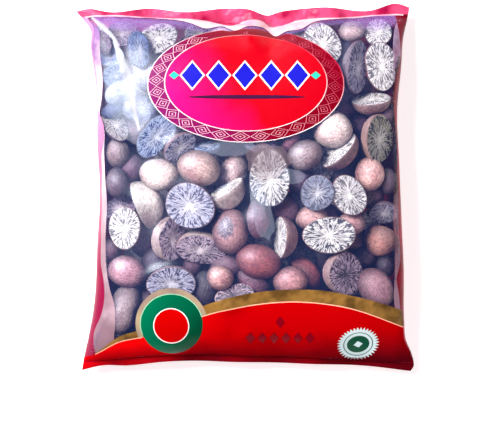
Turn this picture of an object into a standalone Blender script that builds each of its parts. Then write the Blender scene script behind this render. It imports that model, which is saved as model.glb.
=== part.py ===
"""A clear-fronted pillow bag filled with halved betel nuts, lying on its back.

The bag is a tube of film, welded flat across its top and its bottom. Between the two seals it swells to a
pillow, and the nuts next to the film press low bumps into it. It is one closed solid. Metres, +Z up, the bag's
top towards +Y, and the origin on the table under the middle of the bag.
"""

import bmesh
import bpy
import numpy as np

MM = 0.001

# The flat outline, seen from above, in mm: each side is x at some y, and each edge and each seal line is y at
# some x.
HALF_WIDTH = 95.6 * MM
LEFT_SIDE = ((-103.2, -92.2), (-97, -91.1), (-83.5, -87.8), (-68, -84.9), (-30, -82.6), (-5, -81.2),
             (25, -82.7), (55, -83.2), (78, -86.6), (91, -88.1), (96, -92.2), (99.8, -95.6))
RIGHT_SIDE = ((-103.7, 93.6), (-101.2, 95.4), (-98, 95.3), (-94, 94.1), (-85, 90.2), (-75, 89.3), (-46, 88.9),
              (-20, 87.7), (12, 86.4), (45, 85.3), (68, 87.6), (84, 88.9), (95.5, 91.6), (103, 93.0))
TOP_EDGE = ((-95.6, 99.8), (-88, 101), (-77, 98.9), (-52, 101), (-34, 98.7), (-8, 101), (4, 100.2),
            (13, 97), (20, 98.7), (45, 101.4), (74, 100), (88, 103.75), (95.6, 101.8))
BOTTOM_EDGE = ((-95.6, -103.2), (-85, -100.4), (-70, -100.4), (-48, -98), (-8, -98.2), (36, -99.3),
               (74, -101), (95.6, -103.7))
TOP_SEAL = ((-95.6, 96.0), (-50, 95.2), (-20, 93.5), (14, 90.2), (40, 93.5), (95.6, 96.5))
BOTTOM_SEAL = ((-95.6, -98.5), (-48, -94.2), (20, -95), (95.6, -98.8))

# Heights above the table, and how square the swollen film is across and along.
SIDE_HEIGHT = 20 * MM
SEAL_HEIGHT = 13 * MM
EAR_DROOP = 5 * MM
FRONT_SWELL = 26 * MM
BACK_SWELL = 22.5 * MM
SECTION_POWER = 3.5
SECTION_ROUND = 0.5
LENGTH_POWER = 6.5
LENGTH_ROUND = 0.62

# The seals: two films welded flat, which ripple as film does, with one deeper buckle under the top seal.
SEAL_THICKNESS = 0.8 * MM
RIPPLE = 1.7 * MM
RIPPLE_LENGTH = 41 * MM
TOP_PHASE, BOTTOM_PHASE = 0.4, 2.0
RIPPLED_FROM = 0.82
BUCKLE_X = 14 * MM
BUCKLE_WIDTH = 8 * MM
BUCKLE_DEPTH = 3.5 * MM
BUCKLED_FROM = 0.72

# The nuts that press on the film: the middle of each that is seen through the front, in mm, and the spacing of
# the rest, which lie under the print and the back.
NUT_WIDTH = 21 * MM
NUT_RELIEF = 3.6 * MM
SLACK_SWELL, TIGHT_SWELL = 0.15, 0.6
FRONT_NUTS = (
    (-71, 87), (-61, 75), (-50, 86), (-28, 89), (-74, 63), (-59, 57), (-72, 45), (-71, 32), (-55, 42),
    (-45, 33), (-53, 23), (-35, 24), (-72, 20), (-50, 8), (-26, 10), (-7, -5), (-30, -10), (-54, -10),
    (-67, -23), (-73, 1), (-44, -30), (-24, -34), (-8, -26), (14, 5), (34, 17), (49, 32), (55, 18),
    (75, 27), (71, 7), (7, -42), (40, -3), (58, -5), (47, -27), (23, -27), (78, -13), (76, -31),
    (53, -49), (74, -57), (-67, -48), (-42, -52), (-15, -51), (-70, -68), (25, -53), (35, -48),
    (45, 87), (61, 88), (75, 88), (61, 67), (76, 68), (71, 47),
)
FILLED_X = (-72 * MM, 70 * MM)
FILLED_Y = (-82 * MM, 84 * MM)
FRONT_SPACING = 25 * MM
FRONT_CLEARANCE = 17 * MM
BACK_SPACING = 27.5 * MM
ROW_SHARE = 0.87

# The print, which only changes the colour.
LABEL_CENTRE = (0.5 * MM, 57.7 * MM)
LABEL_RADII = (54.8 * MM, 32.5 * MM)
RED_FIELD_TOP = ((-95.6, -96), (-71, -87), (-11, -68.6), (31, -64), (56, -67), (95.6, -82))

# The mesh: the rows count the seals' own at each end, and the columns crowd towards the rounded sides.
COLUMNS = 46
ROWS = 50
SEAL_ROWS = 2
SEAL_SHARE = 1 / (1 - 2 * SEAL_ROWS / ROWS) - 1
SIDE_CROWDING = 0.7


def smooth(knots, at):
    """The smooth curve through the knots: a cubic between two, with its neighbours' slope at each."""
    place, value = np.array(knots, float).T * MM
    slope = np.gradient(value, place)
    left = np.clip(np.searchsorted(place, at) - 1, 0, len(place) - 2)
    span = place[left + 1] - place[left]
    u = np.clip((at - place[left]) / span, 0, 1)
    return ((1 + 2 * u) * (1 - u) ** 2 * value[left] + u * (1 - u) ** 2 * span * slope[left]
            + u * u * (3 - 2 * u) * value[left + 1] - u * u * (1 - u) * span * slope[left + 1])


def step(low, high, value):
    """0 below low, 1 above high and a smooth rise between."""
    u = np.clip((value - low) / (high - low), 0, 1)
    return u * u * (3 - 2 * u)


def staggered(spacing):
    """Places on a staggered grid over the filled middle of the bag, odd rows half a step along."""
    rows = np.arange(*FILLED_Y, spacing * ROW_SHARE)
    columns = np.arange(*FILLED_X, spacing)
    return np.array([(x + k % 2 * spacing / 2, y) for k, y in enumerate(rows) for x in columns])


def nuts_on_front():
    """The seen nuts, and between them under the print more on a staggered grid, clear of those seen."""
    seen = np.array(FRONT_NUTS) * MM
    more = staggered(FRONT_SPACING)
    offset = more[:, None] - seen
    gap = np.hypot(offset[..., 0], offset[..., 1]).min(axis=1)
    return np.concatenate([seen, more[gap > FRONT_CLEARANCE]])


def hollow(x, y, nuts):
    """How far the film sinks, from 0 over a nut to 1 far from all: the product over them of 1 less a bell."""
    distance = np.hypot(x[:, None] - nuts[:, 0], y[:, None] - nuts[:, 1])
    return np.prod(1 - np.exp(-((distance / (NUT_WIDTH / 2)) ** 2)), axis=1)


def plan(across, along):
    """Where a share across, -1 to 1, and along, past -1 and 1 in the seals, lies between sides and edges."""
    flat_x = across * HALF_WIDTH
    top_seal = smooth(TOP_SEAL, flat_x)
    bottom_seal = smooth(BOTTOM_SEAL, flat_x)
    top_depth = smooth(TOP_EDGE, flat_x) - top_seal
    bottom_depth = smooth(BOTTOM_EDGE, flat_x) - bottom_seal
    y = bottom_seal + (np.clip(along, -1, 1) + 1) / 2 * (top_seal - bottom_seal)
    y = y + np.clip((np.abs(along) - 1) / SEAL_SHARE, 0, 1) * np.where(along > 0, top_depth, bottom_depth)
    left = smooth(LEFT_SIDE, y)
    right = smooth(RIGHT_SIDE, y)
    return (left + right) / 2 + across * (right - left) / 2, y


def level(across, along, x):
    """The height of the seals and the sides, midway between front and back: ripples, ears and the buckle."""
    body = np.clip(np.abs(along), 0, 1)
    near_seal = step(RIPPLED_FROM, 1, np.abs(along))
    height = SIDE_HEIGHT + (SEAL_HEIGHT - SIDE_HEIGHT) * body**3
    ear = EAR_DROOP * np.abs(across) ** 5 * near_seal
    phase = np.where(along > 0, TOP_PHASE, BOTTOM_PHASE)
    ripple = RIPPLE * near_seal * np.sin(2 * np.pi * x / RIPPLE_LENGTH + phase)
    from_buckle = ((x - BUCKLE_X) / BUCKLE_WIDTH) ** 2
    buckle = BUCKLE_DEPTH * step(BUCKLED_FROM, 1, along) * (1 - from_buckle) * np.exp(-from_buckle)
    return height - ear + ripple - buckle


def film_points(across, along):
    """Plan point, front and back of the film there.

    Front and back stand off the level between them by a rounded section times a rounded length, less the
    hollows between the nuts, and by half the seals' thickness inside the rim. The back is flat on the table.
    """
    x, y = plan(across, along)
    middle = level(across, along, x)
    section = (1 - np.abs(across) ** SECTION_POWER) ** SECTION_ROUND
    length = (1 - np.clip(np.abs(along), 0, 1) ** LENGTH_POWER) ** LENGTH_ROUND
    swell = section * length
    relief = NUT_RELIEF * step(SLACK_SWELL, TIGHT_SWELL, swell)
    inside_rim = (np.abs(across) < 1) & (np.abs(along) < 1 + SEAL_SHARE)
    half_film = SEAL_THICKNESS / 2 * inside_rim
    front = middle + half_film + FRONT_SWELL * swell - relief * hollow(x, y, nuts_on_front())
    back = middle - half_film - BACK_SWELL * swell + relief * hollow(x, y, staggered(BACK_SPACING))
    return x, y, front, np.maximum(back, 0)


def finish(name, colour, roughness):
    """A Principled material of a colour and a gloss."""
    material = bpy.data.materials.new(name)
    material.diffuse_color = (*colour, 1)
    material.use_nodes = True
    shader = material.node_tree.nodes["Principled BSDF"]
    shader.inputs["Base Color"].default_value = (*colour, 1)
    shader.inputs["Roughness"].default_value = roughness
    shader.inputs["Metallic"].default_value = 0
    return material


def print_at(centre):
    """Which finish a face has: 0 clear over the nuts, 1 red, 2 the pink of the seals and the back."""
    at = np.array([centre.x])
    label_x = (centre.x - LABEL_CENTRE[0]) / LABEL_RADII[0]
    label_y = (centre.y - LABEL_CENTRE[1]) / LABEL_RADII[1]
    on_front = centre.z > SIDE_HEIGHT
    if centre.y < smooth(RED_FIELD_TOP, at)[0] or on_front and np.hypot(label_x, label_y) < 1:
        return 1
    if centre.y > smooth(TOP_SEAL, at)[0] or not on_front:
        return 2
    return 0


def cut_corner_faces(shape):
    """Cuts each corner's faces from the corner inwards, or its front and back would share one flat triangle."""
    for corner in [vert for vert in shape.verts if len(vert.link_edges) == 2]:
        beside = {edge.other_vert(corner) for edge in corner.link_edges}
        for face in list(corner.link_faces):
            inner = next(vert for vert in face.verts if vert is not corner and vert not in beside)
            bmesh.utils.face_split(face, corner, inner)


def make_bag():
    """Two grids, front and back, bent to the film's shape and welded along their shared rim."""
    shape = bmesh.new()
    for is_back in (False, True):
        grid = bmesh.ops.create_grid(shape, x_segments=COLUMNS, y_segments=ROWS, size=1)["verts"]
        share = np.array([vert.co for vert in grid])
        crowded = np.sin(np.pi / 2 * share[:, 0])
        across = share[:, 0] + SIDE_CROWDING * (crowded - share[:, 0])
        along = share[:, 1] * (1 + SEAL_SHARE)
        x, y, front, back = film_points(across, along)
        height = back if is_back else front
        for vert, point in zip(grid, np.stack([x, y, height], axis=1)):
            vert.co = point
    back_verts = set(grid)
    back_faces = [face for face in shape.faces if face.verts[0] in back_verts]
    bmesh.ops.reverse_faces(shape, faces=back_faces)
    bmesh.ops.remove_doubles(shape, verts=shape.verts, dist=0.001 * MM)
    cut_corner_faces(shape)
    for face in shape.faces:
        face.material_index = print_at(face.calc_center_median())
        face.smooth = True
    mesh = bpy.data.meshes.new("bag")
    shape.to_mesh(mesh)
    shape.free()
    mesh.materials.append(finish("clear_film_over_nuts", (0.36, 0.29, 0.27), 0.2))
    mesh.materials.append(finish("red_print_on_film", (0.68, 0.01, 0.02), 0.25))
    mesh.materials.append(finish("pink_print_on_film", (0.75, 0.08, 0.22), 0.25))
    bag = bpy.data.objects.new("bag", mesh)
    bpy.context.scene.collection.objects.link(bag)


for old in list(bpy.data.objects):
    bpy.data.objects.remove(old, do_unlink=True)

make_bag()
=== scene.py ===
"""The looks of a clear-fronted pillow bag filled with halved betel nuts, which lies on its back.

The halves are packed up against the front film, the film is drawn down over them, and its print is laid on
it. Sizes are in millimetres where their names or comments say so and in metres elsewhere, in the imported
model's own frame.
"""

import bpy
import numpy as np
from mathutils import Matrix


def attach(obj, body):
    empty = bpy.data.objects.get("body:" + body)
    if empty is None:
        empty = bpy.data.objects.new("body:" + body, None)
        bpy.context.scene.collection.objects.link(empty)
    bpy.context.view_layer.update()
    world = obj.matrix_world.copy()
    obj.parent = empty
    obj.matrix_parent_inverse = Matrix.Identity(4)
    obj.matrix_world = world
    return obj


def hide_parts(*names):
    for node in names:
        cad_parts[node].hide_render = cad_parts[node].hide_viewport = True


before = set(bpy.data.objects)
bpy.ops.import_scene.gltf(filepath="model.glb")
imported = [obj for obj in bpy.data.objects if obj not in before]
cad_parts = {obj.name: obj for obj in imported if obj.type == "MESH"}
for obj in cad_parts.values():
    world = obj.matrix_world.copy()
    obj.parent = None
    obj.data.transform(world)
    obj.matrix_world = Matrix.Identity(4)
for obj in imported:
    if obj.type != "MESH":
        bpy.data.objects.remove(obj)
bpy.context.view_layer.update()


# The pillow: one tube of clear polypropylene film, drawn flat at its top and its bottom weld and swollen
# between them. Here it is only a form, front and back, before the nuts and the creases mark it. Outlines are
# in mm: each side is x at some y, each edge and each weld is y at some x.
MM = 0.001
HALF_WIDTH = 95.6 * MM
LEFT_SIDE = ((-103.2, -92.2), (-97, -91.1), (-83.5, -87.8), (-68, -84.9), (-30, -82.6), (-5, -81.2),
             (25, -82.7), (55, -83.2), (78, -86.6), (91, -88.1), (96, -92.2), (99.8, -95.6))
RIGHT_SIDE = ((-103.7, 93.6), (-101.2, 95.4), (-98, 95.3), (-94, 94.1), (-85, 90.2), (-75, 89.3), (-46, 88.9),
              (-20, 87.7), (12, 86.4), (45, 85.3), (68, 87.6), (84, 88.9), (95.5, 91.6), (103, 93.0))
TOP_EDGE = ((-95.6, 99.8), (-88, 101), (-77, 98.9), (-52, 101), (-34, 98.7), (-8, 101), (4, 100.2),
            (13, 97), (20, 98.7), (45, 101.4), (74, 100), (88, 103.75), (95.6, 101.8))
BOTTOM_EDGE = ((-95.6, -103.2), (-85, -100.4), (-70, -100.4), (-48, -98), (-8, -98.2), (36, -99.3),
               (74, -101), (95.6, -103.7))
TOP_WELD = ((-95.6, 96.0), (-50, 95.2), (-20, 93.5), (14, 90.2), (40, 93.5), (95.6, 96.5))
BOTTOM_WELD = ((-95.6, -98.5), (-48, -94.2), (20, -95), (95.6, -98.8))
SIDE_HEIGHT = 20 * MM
WELD_HEIGHT = 13 * MM
EAR_DROOP = 5 * MM
FALL_POWER, EAR_POWER = 3, 5
FRONT_SWELL = 26 * MM
BACK_SWELL = 22.5 * MM
SECTION_POWER = 3.5
SECTION_ROUND = 0.5
LENGTH_POWER = 6.5
LENGTH_ROUND = 0.62
HALF_WELD = 0.4 * MM
RIPPLE = 1.7 * MM
RIPPLE_LENGTH = 41 * MM
TOP_PHASE, BOTTOM_PHASE = 0.4, 2.0
RIPPLED_FROM = 0.82
BUCKLE_X = 14 * MM
BUCKLE_WIDTH = 8 * MM
BUCKLE_DEPTH = 3.5 * MM
BUCKLED_FROM = 0.72
WELD_SHARE = 0.087


def smooth(knots, at):
    """The smooth curve through the knots: a cubic between two, with its neighbours' slope at each."""
    place, value = np.array(knots, float).T * MM
    slope = np.gradient(value, place)
    left = np.clip(np.searchsorted(place, at) - 1, 0, len(place) - 2)
    span = place[left + 1] - place[left]
    u = np.clip((at - place[left]) / span, 0, 1)
    return ((1 + 2 * u) * (1 - u) ** 2 * value[left] + u * (1 - u) ** 2 * span * slope[left]
            + u * u * (3 - 2 * u) * value[left + 1] - u * u * (1 - u) * span * slope[left + 1])


def step(low, high, value):
    """0 below low, 1 above high and a smooth rise between."""
    u = np.clip((value - low) / (high - low), 0, 1)
    return u * u * (3 - 2 * u)


def between_sides(across, y):
    """The x at a share across, -1 on the left side of the bag to 1 on its right, at some y."""
    left, right = smooth(LEFT_SIDE, y), smooth(RIGHT_SIDE, y)
    return (left + right) / 2 + across * (right - left) / 2


def plan(across, along):
    """Where a share across, -1 to 1, and along, past -1 and 1 in the welds, lies between sides and edges."""
    flat_x = across * HALF_WIDTH
    top_weld, bottom_weld = smooth(TOP_WELD, flat_x), smooth(BOTTOM_WELD, flat_x)
    top_depth, bottom_depth = smooth(TOP_EDGE, flat_x) - top_weld, smooth(BOTTOM_EDGE, flat_x) - bottom_weld
    y = bottom_weld + (np.clip(along, -1, 1) + 1) / 2 * (top_weld - bottom_weld)
    y = y + np.clip((np.abs(along) - 1) / WELD_SHARE, 0, 1) * np.where(along > 0, top_depth, bottom_depth)
    return between_sides(across, y), y


def shares(x, y):
    """The way back from a place in plan to its shares across and along."""
    left, right = smooth(LEFT_SIDE, y), smooth(RIGHT_SIDE, y)
    across = np.clip((2 * x - left - right) / (right - left), -1, 1)
    top, bottom = smooth(TOP_WELD, across * HALF_WIDTH), smooth(BOTTOM_WELD, across * HALF_WIDTH)
    return across, (2 * y - top - bottom) / (top - bottom)


def swell(across, along):
    """How full the pillow is, 0 at its rim to 1 in its middle: a rounded section times a rounded length."""
    section = (1 - np.abs(across) ** SECTION_POWER) ** SECTION_ROUND
    return section * (1 - np.clip(np.abs(along), 0, 1) ** LENGTH_POWER) ** LENGTH_ROUND


def level(across, along, x):
    """The height of the welds and the sides, midway between front and back: ripples, ears and the buckle."""
    near_weld = step(RIPPLED_FROM, 1, np.abs(along))
    height = SIDE_HEIGHT + (WELD_HEIGHT - SIDE_HEIGHT) * np.clip(np.abs(along), 0, 1) ** FALL_POWER
    ear = EAR_DROOP * np.abs(across) ** EAR_POWER * near_weld
    phase = np.where(along > 0, TOP_PHASE, BOTTOM_PHASE)
    ripple = RIPPLE * near_weld * np.sin(2 * np.pi * x / RIPPLE_LENGTH + phase)
    from_buckle = ((x - BUCKLE_X) / BUCKLE_WIDTH) ** 2
    buckle = BUCKLE_DEPTH * step(BUCKLED_FROM, 1, along) * (1 - from_buckle) * np.exp(-from_buckle)
    return height - ear + ripple - buckle


def pillow(x, y):
    """Front and back height of the smooth pillow at places in plan: its level, and the swell either side."""
    across, along = shares(x, y)
    middle, full = level(across, along, x), swell(across, along)
    back = np.maximum(middle - HALF_WELD - BACK_SWELL * full, 0)
    return middle + HALF_WELD + FRONT_SWELL * full, back


# Creases that the front film keeps where it was bent sharply, at the welds, the shoulders and the sides, all
# in mm: where each starts and ends, how wide it is and how far it rises.
CREASES = (
    (-86.5, 96.5, -73, 84, 2.2, 1.5),
    (-73, 84, -68, 64, 3.0, 1.4),
    (-68, 64, -65, 28, 4.5, 1.0),
    (-20, -3, -1, 7, 1.2, -0.5),
    (14, 92, 18, 82, 3.0, -1.4),
    (-2, 92, 2, 84, 2.6, 1.0),
    (30, 93, 27, 85, 2.6, 1.0),
    (-30, 93, -27, 85, 2.2, 0.8),
    (86, 95, 78, 80, 2.4, 0.9),
    (84, 60, 80, 40, 2.0, 0.7),
    (-86, -92, -76, -70, 2.2, 0.9),
)


def creases(x, y):
    """Height in mm that the creases add at places in mm: the rise of each times a bell of the way from it."""
    height = np.zeros_like(x)
    for x0, y0, x1, y1, width, rise in CREASES:
        way = np.array([x1 - x0, y1 - y0])
        span = np.hypot(*way)
        share = ((x - x0) * way[0] + (y - y0) * way[1]) / span**2
        away = np.abs((x - x0) * way[1] - (y - y0) * way[0]) / span / width
        beyond = np.maximum(np.abs(share - 0.5) - 0.5, 0) * span / width
        height = height + rise * np.exp(-(away**2) - beyond**2)
    return height


# The halves next to the front film. Dried betel nuts, cut in two with a knife: a matt brown dome with a net
# of veins, and a hard ivory cut face marbled by dark rays. They lie as they fell, pressed up against the
# film. Each half: x and y in mm, its cut face's length and width, the bearing of its length, how far it leans
# from face up (180 is skin up) and towards which bearing, its order from the front, and its look.
HALVES = (
    (-70, 86, 19, 15, 0, 15, 90, 2, "plum"),
    (-79, 83, 18, 11, 110, 30, 200, 1, "plum"),
    (-60, 76, 22, 14, 95, 30, 20, 0, "deep_blue"),
    (-76, 73, 16, 12, 10, 20, 90, 2, "iced"),
    (-49, 84, 23, 16, 20, 10, 270, 0, "chalk"),
    (-27, 86, 17, 12, 0, 25, 0, 1, "dusk"),
    (-14, 83, 17, 16, 0, 180, 90, 0, "pale"),
    (-73, 62, 16, 13, 15, 25, 20, 1, "blued"),
    (-56, 64, 21, 15, 80, 170, 0, 2, "iced"),
    (-71, 53, 17, 13, 15, 160, 300, 0, "iced"),
    (-73, 43, 15, 9, 170, 168, 100, 1, "deep_blue"),
    (-73, 33, 21, 14, 115, 35, 60, 1, "grey"),
    (-57, 42, 21, 16, 60, 145, 120, 0, "iced"),
    (-50, 29, 28, 18, 52, 25, 310, 1, "blued"),
    (-37, 23, 20, 15, 35, 40, 310, 0, "lilac"),
    (-72, 19, 17, 15, 90, 150, 0, 1, "grey"),
    (-21, 21, 15, 11, 20, 60, 90, 4, "blued"),
    (-7, 20, 18, 13, 0, 180, 90, 5, "plum"),
    (-48, 7, 22, 18, -15, 180, 75, 0, "pale"),
    (-26, 10, 24, 20, -10, 168, 80, 0, "veined"),
    (-8, 9, 20, 17, 60, 155, 330, 2, "ashen"),
    (-9, -5, 22, 22, 32, 74, 122, 0, "pale"),
    (-30, -10, 28, 25, -20, 8, 200, 0, "lilac"),
    (-53.5, -9, 27, 25, 111, 100, 201, 0, "white"),
    (-66, -23, 24, 18, 95, 10, 180, 0, "chalk"),
    (-72, 2, 18, 14, 80, 140, 0, 1, "dark"),
    (-70, -13, 19, 14, 20, 30, 90, 3, "plum"),
    (-44, -29, 25, 23, 60, 52, 0, 2, "broken"),
    (-25, -32, 28, 21, -12, 40, 270, 1, "broken"),
    (-8, -25, 26, 20, 85, 180, 175, 0, "chipped"),
    (8, -18, 21, 15, 110, 130, 190, 2, "plum"),
    (14, 4, 33, 22, 93, 6, 150, 0, "veiled"),
    (23, -28, 24, 19, 82, 68, 180, 0, "chalk"),
    (37, -17, 19, 14, 0, 180, 90, 3, "rosy"),
    (48, 32, 23, 21, 0, 180, 90, 0, "pale"),
    (54, 18, 25, 19, 45, 62, 135, 0, "chalk"),
    (72, 27, 27, 21, 100, 42, 350, 0, "olive"),
    (70, 7, 19, 17, 100, 165, 190, 1, "salmon"),
    (33, 17, 20, 17, 35, 170, 125, 1, "grey"),
    (40.5, -3.5, 20.5, 18.5, 70, 12, 190, 0, "slate"),
    (57, -5, 24, 18, 117, 10, 0, 0, "chalk"),
    (46, -27, 30, 20, 5, 8, 90, 0, "ivory"),
    (59, -20, 15, 13, 0, 180, 90, 3, "rosy"),
    (77, -13, 16, 14, 0, 35, 270, 1, "dusk"),
    (75, -31, 22, 19, 80, 130, 60, 0, "russet"),
    (67, -39, 14, 11, 0, 180, 90, 6, "dark"),
    (25, 26, 14, 12, 90, 180, 180, 2, "plum"),
    (79, 3, 15, 11, 90, 160, 0, 4, "dark"),
    (-66, -47, 22, 18, -10, 180, 80, 0, "mauve"),
    (-41, -52, 28, 20, 0, 22, 270, 0, "lilac"),
    (-14, -50, 15, 14, 0, 180, 90, 0, "pink"),
    (-6, -61, 22, 14, 15, 20, 90, 1, "night"),
    (-22, -57, 21, 15, 80, 165, 0, 3, "shaded"),
    (17, -48, 15, 13, 90, 170, 0, 4, "shaded"),
    (7, -41, 26, 19, -12, 180, 78, 0, "wine"),
    (4, -54, 21, 14, -25, 120, 60, 3, "plum"),
    (25, -52, 19, 17, 0, 180, 90, 0, "rose"),
    (35, -47, 21, 17, 130, 98, 220, 2, "wine"),
    (52.5, -48, 24, 26, 60, 40, 350, 0, "night"),
    (74, -56, 24, 20, 120, 160, 210, 0, "red"),
    (-67, -68, 28, 18, 78, 172, 165, 1, "grey"),
    (-57, -66, 21, 15, 60, 160, 150, 3, "dark"),
    (43, 80, 25, 21, 130, 8, 0, 0, "chalk"),
    (60, 87, 16, 12, 0, 150, 90, 1, "ashen"),
    (75, 86, 17, 15, 90, 20, 90, 1, "chalk"),
    (60, 66, 30, 18, 82, 48, 0, 2, "dusk"),
    (75, 67, 28, 18.5, 95, 14, 0, 0, "chalk"),
    (70, 46, 22, 17, 8, 62, 95, 1, "chalk"),
    (31, 84, 16, 14, 0, 180, 90, 0, "pale"),
    (79, 41, 14, 10, 90, 160, 0, 4, "dark"),
)
# Each look: the colours of the skin, of the cut face and of its rays, how strongly the rays show, and whether
# the skin is chipped. The blue looks carry the blue glare over the upper left of the window as painted
# reflection in the nuts' own colours.
LOOKS = {
    "pale": ("ECDCD8", "E4E0DE", "5A5058", 0.9, 0),
    "white": ("EEE8E4", "EAE8E4", "7A7078", 0.9, 0),
    "ashen": ("BCA6AA", "C9C2C0", "4A4450", 0.9, 0),
    "grey": ("8C7C80", "B8B0B0", "3A3440", 0.9, 0),
    "chalk": ("AE8A88", "DEDCDE", "3E3840", 0.9, 0),
    "ivory": ("C8A8A2", "CAC8C8", "26222A", 1.0, 0),
    "veiled": ("76666E", "CAC8C8", "26222A", 1.0, 0),
    "lilac": ("A08088", "AAAAC2", "383650", 1.0, 0),
    "slate": ("9C8A94", "74788E", "2C2C3A", 1.0, 0),
    "blued": ("8C98BC", "A6B8DA", "26386C", 1.0, 0),
    "deep_blue": ("26366E", "6C88C0", "16244E", 1.0, 0),
    "iced": ("B4C0DA", "C0CCE6", "6480B8", 1.0, 0),
    "plum": ("82586A", "8E7894", "2A2234", 1.0, 0),
    "dusk": ("826878", "8C849A", "2A2636", 1.0, 0),
    # A dark copy of the nut colours for halves deep in the gaps: painted shade.
    "shaded": ("2A1C26", "4A3E48", "14101A", 1.0, 0),
    "dark": ("54404C", "5E5464", "201C28", 1.0, 0),
    "night": ("D4ACAA", "261620", "B09AAA", 0.9, 0),
    "olive": ("CCA296", "8E8A78", "161614", 1.0, 0),
    "wine": ("864A4C", "E4D8D2", "4A3438", 0.9, 0),
    "salmon": ("D2A8A2", "E4D8D2", "4A3438", 0.9, 0),
    "russet": ("A8786E", "E4D8D2", "4A3438", 0.9, 0),
    "mauve": ("A87E8A", "B8A8B8", "3A3242", 1.0, 0),
    "rosy": ("B49090", "E2D4CE", "54424A", 0.9, 0),
    "rose": ("AC7C7C", "E2D4CE", "54424A", 0.9, 0),
    "red": ("8A646C", "E4D8D2", "4A3438", 0.9, 0),
    "chipped": ("A47E82", "E4D8D2", "4A3438", 0.9, 1),
    "pink": ("BE9490", "E2D4CE", "54424A", 0.9, 0),
    "veined": ("C4A8A2", "E4D8D2", "54424A", 0.9, 0),
    "broken": ("E6D0CE", "C8B4C6", "46364E", 1.0, 0),
}
# A dome is so deep for its width, is turned about a place at a share of that depth, and curls over at its rim
# in mm. A broken face is crumbled and a sawn one nearly even, in mm. A half much longer than wide is pinched.
# One half's patterns start so far from the last one's, and its colours are up to so much darker or lighter.
DOME_DEPTH, MIDDLE, RIM_DROP = 0.53, 0.4, 0.35
CRUMBLED, SAWN = 1.1, 0.18
PINCH, LONG_FROM, PINCHED_AT, PINCH_REACH = 0.2, 1.5, (4.71, 1.57), 0.3
NEXT_FACE, NEXT_SKIN = 1.7, 31.0
TONES = (0.95, 1.2)


def leant(turn, lean, toward):
    """The matrix that turns a half about its upright axis, then leans that axis over towards a bearing."""
    turn, lean, toward = np.radians([turn, lean, toward])
    spun = np.array([[np.cos(turn), -np.sin(turn), 0], [np.sin(turn), np.cos(turn), 0], [0, 0, 1]])
    a = np.array([-np.sin(toward), np.cos(toward), 0])
    across = np.array([[0, -a[2], a[1]], [a[2], 0, -a[0]], [-a[1], a[0], 0]])
    return (np.eye(3) + np.sin(lean) * across + (1 - np.cos(lean)) * across @ across) @ spun


def half_span(x, y, radii, matrix):
    """Lowest and highest height of half an ellipsoid, face at its own height 0, on the uprights at x, y.

    In the half's own axes, scaled by its radii, an upright is a line: it meets the ball where a quadratic has
    its roots, and the cut plane where its third coordinate is 0. The span is nan where it misses.
    """
    centre = matrix @ np.array([0, 0, -MIDDLE * radii[2]])
    offset = np.stack([x + centre[0], y + centre[1], np.zeros_like(x)], axis=-1) @ matrix
    up = matrix[2]
    p, e = offset / radii, up / radii
    a, b, c = e @ e, p @ e, (p * p).sum(axis=-1) - 1
    root = np.sqrt(np.where(b * b > a * c, b * b - a * c, np.nan))
    low, high = (-b - root) / a, (-b + root) / a
    cut = -offset[..., 2] / (up[2] if abs(up[2]) > 1e-6 else 1e-6)
    if up[2] > 0:
        high = np.minimum(high, cut)
    else:
        low = np.maximum(low, cut)
    missed = ~(high > low)
    return np.where(missed, np.nan, low) - centre[2], np.where(missed, np.nan, high) - centre[2]


# The bag in plan, in steps of one millimetre: the heights of its film in mm, the room still left for halves
# under the front film, and the top of the heap so far. Halves keep a gap of air in mm to the film, and are
# lodged as if they were a little larger than they are: those in front nearly true, the others with room.
GAP, NEARLY, ROOMY = 0.35, 1.03, 1.08
OVERLAP = 0.86
INSIDE = 0.985
STEP_MM = 1.0
ground_x, ground_y = np.meshgrid(np.arange(-96, 97, STEP_MM), np.arange(-104, 105, STEP_MM))
front_mm, back_mm = (side / MM for side in pillow(ground_x * MM, ground_y * MM))
creased_mm = front_mm + np.minimum(creases(ground_x, ground_y), 0)
ground_across, ground_along = shares(ground_x * MM, ground_y * MM)
in_bag = (np.abs(ground_across) < INSIDE) & (np.abs(ground_along) < INSIDE)
ceiling = creased_mm - GAP
heap_top = np.full_like(ceiling, -np.inf)


def spans(x, y, long, wide, matrix, size=1.0):
    """Lowest and highest height of a half at x, y over the whole plan, at a share of its size."""
    radii = np.array([long / 2, wide / 2, DOME_DEPTH * wide]) * size
    return half_span(ground_x - x, ground_y - y, radii, matrix)


def lodge(x, y, long, wide, turn, lean, toward):
    """Raises a half at x, y until it meets the film or a half in front of it; its height, its room below.

    Against other halves it counts a little small: two that touch at their rims sit partly beside each other.
    """
    matrix = leant(turn, lean, toward)
    low, high = spans(x, y, long, wide, matrix)
    small_low, small_high = spans(x, y, long, wide, matrix, OVERLAP)
    height = min(np.nanmin(creased_mm - GAP - high), np.nanmin(ceiling - small_high))
    room = -1 if np.any(~np.isnan(low) & ~in_bag) else np.nanmin(low + height - back_mm)
    return height, room, small_low + height, high + height, matrix


def keep(low, high):
    """Takes a lodged half's room out of the ceiling for those that come after it."""
    held = ~np.isnan(low)
    ceiling[held] = np.minimum(ceiling[held], low[held])
    held = ~np.isnan(high)
    heap_top[held] = np.maximum(heap_top[held], high[held])


# A half's outline is fuller at one end and waves twice and three times round, in shares of its radii. The pit
# in its face and the bumps of its skin are in mm. Bumps run so many radians to a mm, and end near the rim.
FULL_END, TWO_WAVES, THREE_WAVES = 0.035, 0.025, 0.018
PIT_MM, PIT_SHARE = 0.8, 0.16
BUMPS, SLOWEST, QUICKEST, SKIN_BUMP, BUMPS_END = 7, 0.35, 1.3, 0.12, 0.97


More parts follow.
